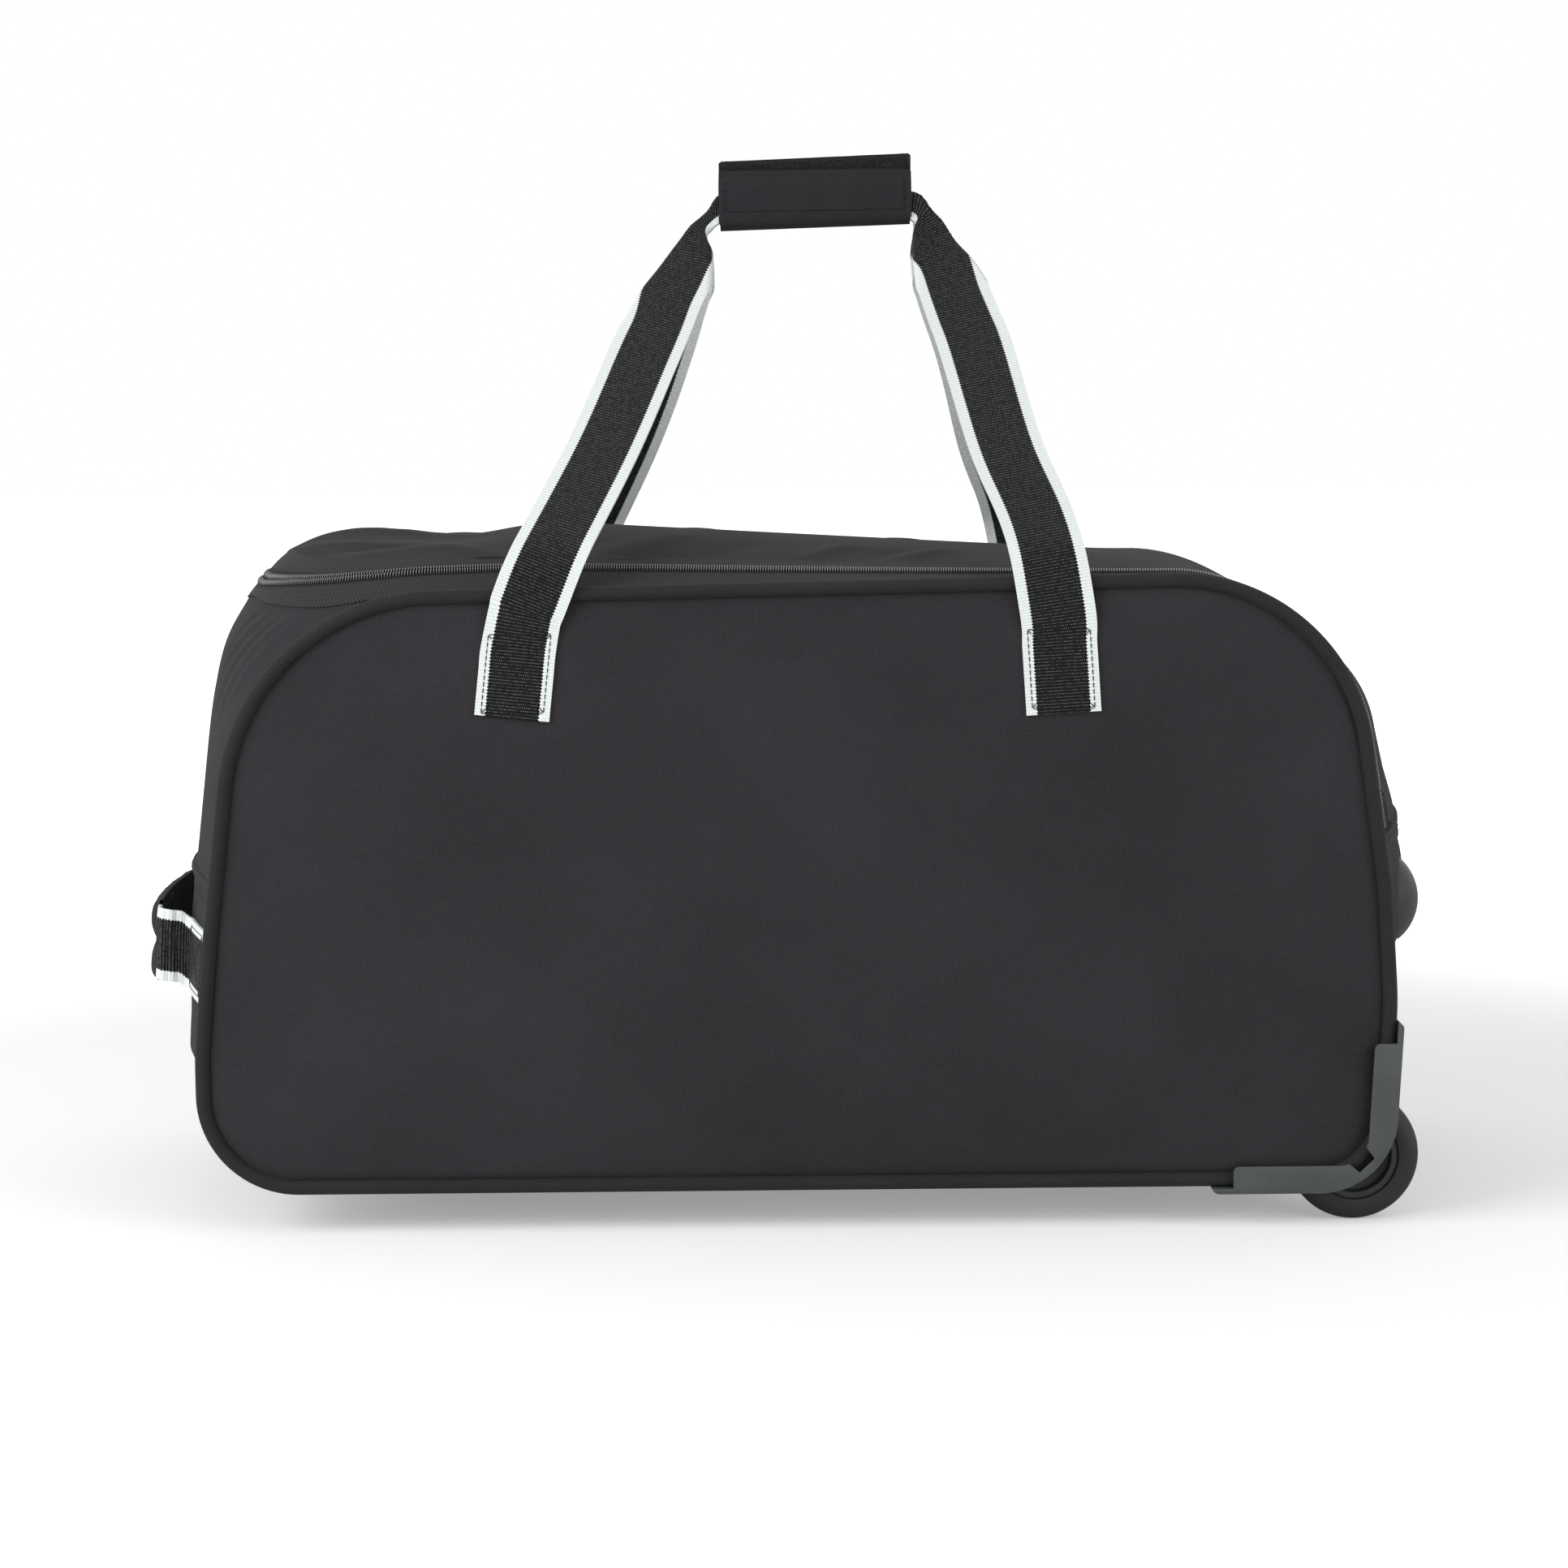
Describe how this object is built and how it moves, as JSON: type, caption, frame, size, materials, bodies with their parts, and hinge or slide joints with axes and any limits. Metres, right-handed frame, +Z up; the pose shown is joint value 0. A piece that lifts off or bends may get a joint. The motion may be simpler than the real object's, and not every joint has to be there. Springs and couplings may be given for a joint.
{
  "type": "rolling duffel bag",
  "caption": "Wheeled fabric duffel bag with a zip-round lid, striped webbing carry handles joined in a wrapped grip, an end pull handle and moulded corner guards.",
  "frame": {"origin": "on the floor under the middle of the whole bag, end handle and end feet included", "axes": "+X towards the wheel end, -Y towards the plain back that the picture shows, +Z up"},
  "size_m": [0.7736, 0.344, 0.6306],
  "materials": {
    "bag_fabric": "woven polyester, matte",
    "trim_tape": "herringbone tape",
    "zip_coil": "nylon coil",
    "board_plastic": "sheet",
    "striped_webbing": "ribbed webbing with white edge stripes",
    "guard_plastic": "moulded, fine grain",
    "plain_steel": "plated",
    "grip_fabric": "woven polyester, padded",
    "hook_and_loop": "fuzzy tape",
    "wheel_rubber": "satin",
    "hub_plastic": "moulded",
    "slider_metal": "dark enamel",
    "pull_rubber": "matte"
  },
  "bodies": {
    "bag_body": {"back_panel": "bag_fabric", "front_panel": "bag_fabric", "back_piping": "trim_tape", "front_piping": "trim_tape", "base_panel": "bag_fabric", "wheel_corner_panel": "bag_fabric", "wheel_end_panel": "bag_fabric", "handle_end_panel": "bag_fabric", "handle_end_upper": "bag_fabric", "back_zip_band": "bag_fabric", "front_zip_band": "bag_fabric", "lid_hinge_strip": "bag_fabric", "zip_coil_body": "zip_coil", "base_board": "board_plastic", "back_handle_ends": "striped_webbing", "front_handle_ends": "striped_webbing", "back_wheel_guard": "guard_plastic", "front_wheel_guard": "guard_plastic", "back_axle": "plain_steel", "front_axle": "plain_steel", "guard_rivets": "plain_steel", "back_end_foot": "guard_plastic", "front_end_foot": "guard_plastic", "back_base_foot": "guard_plastic", "front_base_foot": "guard_plastic", "foot_rivets": "plain_steel", "end_handle_strap": "striped_webbing", "end_handle_grip": "grip_fabric"},
    "lid": {"lid_panel": "bag_fabric", "zip_coil_lid": "zip_coil"},
    "back_handle": {"back_carry_handle": "striped_webbing"},
    "front_handle": {"front_carry_handle": "striped_webbing", "grip_wrap": "grip_fabric", "grip_loop_strip": "hook_and_loop"},
    "grip_flap": {"grip_flap": "grip_fabric", "grip_hook_strip": "hook_and_loop"},
    "back_wheel": {"back_tyre": "wheel_rubber", "back_hub": "hub_plastic", "back_bearings": "plain_steel"},
    "front_wheel": {"front_tyre": "wheel_rubber", "front_hub": "hub_plastic", "front_bearings": "plain_steel"},
    "zip_slider": {"zip_slider": "slider_metal"},
    "zip_pull": {"zip_pull": "pull_rubber"}
  },
  "joints": [
    {"name": "lid_swing", "type": "hinge", "parent": "bag_body", "child": "lid", "pos_m": [0.37387, 0, 0.25621], "axis": [0, 1, 0], "range_deg": [0, 97]},
    {"name": "back_handle_swing", "type": "hinge", "parent": "bag_body", "child": "back_handle", "pos_m": [0, -0.16262, 0.3536], "axis": [1, 0, 0], "range_deg": [0, 160]},
    {"name": "front_handle_swing", "type": "hinge", "parent": "bag_body", "child": "front_handle", "pos_m": [0, 0.16262, 0.3536], "axis": [-1, 0, 0], "range_deg": [0, 160]},
    {"name": "grip_flap_open", "type": "hinge", "parent": "front_handle", "child": "grip_flap", "pos_m": [0, -0.008, 0.59335], "axis": [1, 0, 0], "range_deg": [0, 130]},
    {"name": "back_wheel_spin", "type": "hinge", "parent": "bag_body", "child": "back_wheel", "pos_m": [0.33983, -0.1357, 0.0386], "axis": [0, 1, 0], "continuous": true},
    {"name": "front_wheel_spin", "type": "hinge", "parent": "bag_body", "child": "front_wheel", "pos_m": [0.33983, 0.1357, 0.0386], "axis": [0, 1, 0], "continuous": true},
    {"name": "zip_slide", "type": "slide", "parent": "bag_body", "child": "zip_slider", "axis": [-0.1697, 0, 0.9855], "range_m": [0, 0.034]},
    {"name": "zip_pull_swing", "type": "hinge", "parent": "zip_slider", "child": "zip_pull", "pos_m": [0.36515, 0.12383, 0.24036], "axis": [0.2735, -0.9607, 0.0471], "range_deg": [0, 140]}
  ],
  "couplings": [
    {"joint": "back_handle_swing", "follows": "lid_swing", "ratio": 1.64},
    {"joint": "front_handle_swing", "follows": "lid_swing", "ratio": 1.64}
  ]
}
